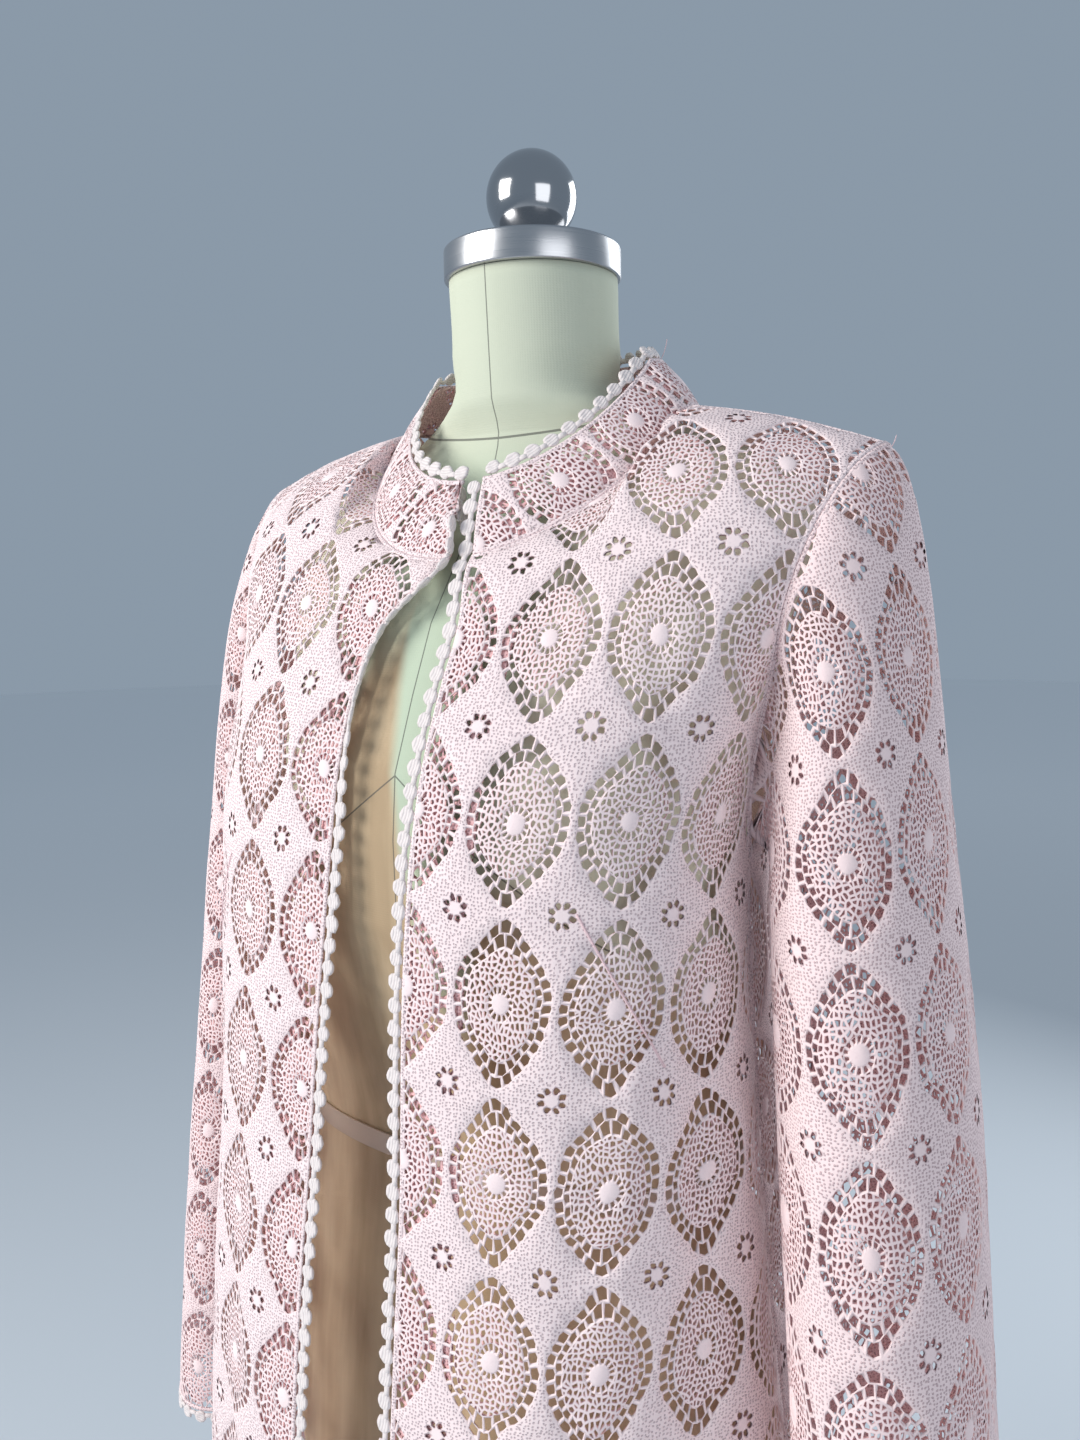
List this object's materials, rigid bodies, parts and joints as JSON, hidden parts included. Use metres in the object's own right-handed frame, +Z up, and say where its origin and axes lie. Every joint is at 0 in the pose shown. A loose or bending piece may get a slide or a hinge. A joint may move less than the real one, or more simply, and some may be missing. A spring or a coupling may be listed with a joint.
{
  "type": "crochet jacket on dress form",
  "caption": "Open-work crochet jacket with long sleeves and a stand collar, worn open on a limbless dress form with a neck cap, ball finial, pole and round base.",
  "frame": {"origin": "centre of the underside of the round base, on the axis of the pole and neck", "axes": "+Z up, the jacket's front faces -Y, the wearer's left is +X"},
  "size_m": [0.5639, 0.3493, 1.5433],
  "materials": {
    "lace": "pale pink cotton crochet",
    "edging": "ivory cotton yarn",
    "form": "cream linen cover",
    "tape": "pinkish beige cotton tape",
    "steel": "brushed",
    "polished": "polished",
    "base": "dark grey powder coat"
  },
  "bodies": {
    "root": {"back": "lace", "front_left": "lace", "front_right": "lace", "collar": "lace", "sleeve_left_front": "lace", "sleeve_left_back": "lace", "sleeve_right_front": "lace", "sleeve_right_back": "lace", "edging_left": "edging", "edging_right": "edging", "edging_collar": "edging", "edging_cuff_left": "edging", "edging_cuff_right": "edging", "dress_form": "form", "waist_tape": "tape", "neck_cap": "steel", "pole": "steel", "finial": "polished", "stand_base": "base"}
  },
  "joints": []
}
